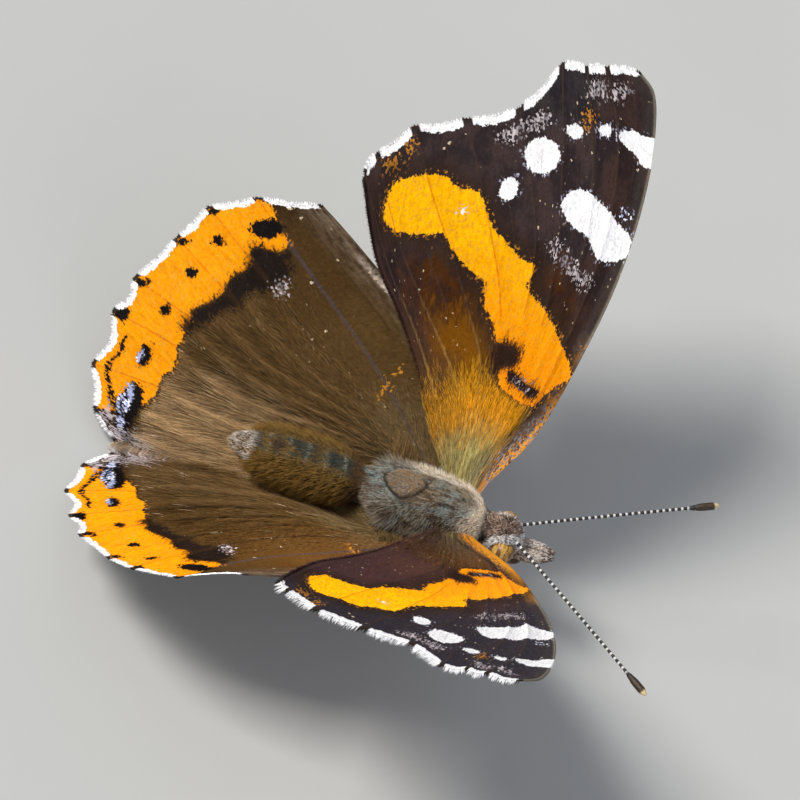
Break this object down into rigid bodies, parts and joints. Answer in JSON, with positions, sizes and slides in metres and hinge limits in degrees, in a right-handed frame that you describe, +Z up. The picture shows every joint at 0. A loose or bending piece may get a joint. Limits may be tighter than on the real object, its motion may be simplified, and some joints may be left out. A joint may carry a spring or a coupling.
{
  "type": "red admiral butterfly model",
  "caption": "Life-size still model of a red admiral butterfly, standing with its wings half open in a V.",
  "frame": {"origin": "on the floor under the middle of the bounding box; the four walking feet stand on Z = 0", "axes": "+Z up, the head looks along -Y, the butterfly's left wings reach along +X"},
  "size_m": [0.0526, 0.0424, 0.0273],
  "materials": {
    "thorax_fur": "short grey-brown fur with a blue-grey cast and a paler front rim",
    "abdomen_fur": "dark brown fur with blue-grey scales on the rings",
    "head_fur": "grey-brown hair tufts flecked with white",
    "eye": "smooth amber-brown compound eye",
    "proboscis": "dark brown coiled tube",
    "antenna": "black with narrow white rings and a cream club tip",
    "forewing": "dark velvety scales, an orange-red band, white marks near the tip and a white fringe",
    "hindwing": "dark brown scales, an orange border with black spots, a lilac-blue corner spot and a white fringe",
    "leg": "dull tan and brown scales"
  },
  "bodies": {
    "root": {"thorax": "thorax_fur", "abdomen": "abdomen_fur", "head": "head_fur", "proboscis": "proboscis", "eye_left": "eye", "eye_right": "eye", "palp_left": "head_fur", "palp_right": "head_fur", "antenna_left": "antenna", "antenna_right": "antenna", "forewing_left": "forewing", "forewing_right": "forewing", "hindwing_left": "hindwing", "hindwing_right": "hindwing", "foreleg_left": "leg", "foreleg_right": "leg", "midleg_left": "leg", "midleg_right": "leg", "hindleg_left": "leg", "hindleg_right": "leg"}
  },
  "joints": []
}
